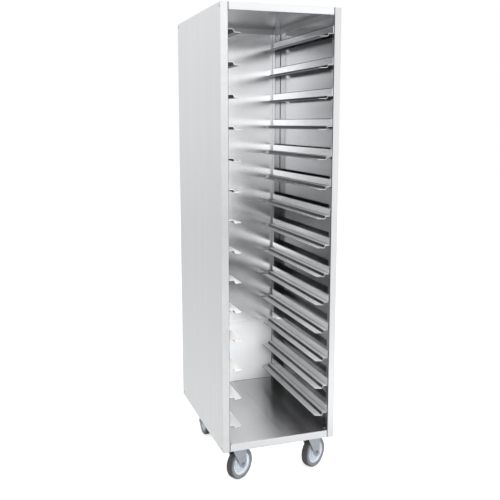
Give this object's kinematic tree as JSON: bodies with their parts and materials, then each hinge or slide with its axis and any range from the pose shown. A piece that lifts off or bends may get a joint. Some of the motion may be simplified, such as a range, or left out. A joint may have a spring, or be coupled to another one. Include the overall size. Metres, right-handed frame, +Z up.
{
  "type": "tray trolley",
  "caption": "Tall stainless tray trolley with closed sides and back, open front, stepped tray rails down both sides and swivel casters.",
  "frame": {"origin": "on the floor, under the middle of the body: midway between the side panels and between the front and the back", "axes": "+X to the right seen from the open front, +Y from the open front to the back, +Z up"},
  "size_m": [0.4657, 0.64, 1.8],
  "materials": {
    "stainless_steel": "brushed",
    "zinc_plated_steel": "satin",
    "grey_rubber": "matt",
    "white_plastic": "satin"
  },
  "bodies": {
    "root": {"left_side_panel": "stainless_steel", "right_side_panel": "stainless_steel", "back_panel": "stainless_steel", "roof_panel": "stainless_steel", "floor_panel": "stainless_steel", "rear_left_post": "stainless_steel", "rear_right_post": "stainless_steel", "front_base_channel": "stainless_steel", "rear_base_channel": "stainless_steel", "left_rail_01": "stainless_steel", "left_rail_02": "stainless_steel", "left_rail_03": "stainless_steel", "left_rail_04": "stainless_steel", "left_rail_05": "stainless_steel", "left_rail_06": "stainless_steel", "left_rail_07": "stainless_steel", "left_rail_08": "stainless_steel", "left_rail_09": "stainless_steel", "left_rail_10": "stainless_steel", "left_rail_11": "stainless_steel", "left_rail_12": "stainless_steel", "left_rail_13": "stainless_steel", "left_rail_14": "stainless_steel", "right_rail_01": "stainless_steel", "right_rail_02": "stainless_steel", "right_rail_03": "stainless_steel", "right_rail_04": "stainless_steel", "right_rail_05": "stainless_steel", "right_rail_06": "stainless_steel", "right_rail_07": "stainless_steel", "right_rail_08": "stainless_steel", "right_rail_09": "stainless_steel", "right_rail_10": "stainless_steel", "right_rail_11": "stainless_steel", "right_rail_12": "stainless_steel", "right_rail_13": "stainless_steel", "right_rail_14": "stainless_steel", "corner_rivets": "stainless_steel", "caster_bolts": "zinc_plated_steel", "king_pins": "zinc_plated_steel", "front_left_plate": "zinc_plated_steel", "front_right_plate": "zinc_plated_steel", "rear_left_plate": "zinc_plated_steel", "rear_right_plate": "zinc_plated_steel"},
    "front_left_caster": {"front_left_fork": "zinc_plated_steel", "front_left_axle": "zinc_plated_steel"},
    "front_left_wheel": {"front_left_rim": "white_plastic", "front_left_tyre": "grey_rubber"},
    "front_right_caster": {"front_right_fork": "zinc_plated_steel", "front_right_axle": "zinc_plated_steel"},
    "front_right_wheel": {"front_right_rim": "white_plastic", "front_right_tyre": "grey_rubber"},
    "rear_left_caster": {"rear_left_fork": "zinc_plated_steel", "rear_left_axle": "zinc_plated_steel"},
    "rear_left_wheel": {"rear_left_rim": "white_plastic", "rear_left_tyre": "grey_rubber"},
    "rear_right_caster": {"rear_right_fork": "zinc_plated_steel", "rear_right_axle": "zinc_plated_steel"},
    "rear_right_wheel": {"rear_right_rim": "white_plastic", "rear_right_tyre": "grey_rubber"}
  },
  "joints": [
    {"name": "front_left_swivel", "type": "hinge", "parent": "root", "child": "front_left_caster", "pos_m": [-0.158, -0.255, 0.137], "axis": [0, 0, 1], "continuous": true},
    {"name": "front_left_spin", "type": "hinge", "parent": "front_left_caster", "child": "front_left_wheel", "pos_m": [-0.14068, -0.245, 0.0625], "axis": [-0.5, 0.866, 0], "continuous": true},
    {"name": "front_right_swivel", "type": "hinge", "parent": "root", "child": "front_right_caster", "pos_m": [0.158, -0.255, 0.137], "axis": [0, 0, 1], "continuous": true},
    {"name": "front_right_spin", "type": "hinge", "parent": "front_right_caster", "child": "front_right_wheel", "pos_m": [0.17532, -0.245, 0.0625], "axis": [-0.5, 0.866, 0], "continuous": true},
    {"name": "rear_left_swivel", "type": "hinge", "parent": "root", "child": "rear_left_caster", "pos_m": [-0.158, 0.215, 0.137], "axis": [0, 0, 1], "continuous": true},
    {"name": "rear_left_spin", "type": "hinge", "parent": "rear_left_caster", "child": "rear_left_wheel", "pos_m": [-0.158, 0.195, 0.0625], "axis": [1, 0, 0], "continuous": true},
    {"name": "rear_right_swivel", "type": "hinge", "parent": "root", "child": "rear_right_caster", "pos_m": [0.158, 0.215, 0.137], "axis": [0, 0, 1], "continuous": true},
    {"name": "rear_right_spin", "type": "hinge", "parent": "rear_right_caster", "child": "rear_right_wheel", "pos_m": [0.158, 0.195, 0.0625], "axis": [1, 0, 0], "continuous": true}
  ]
}
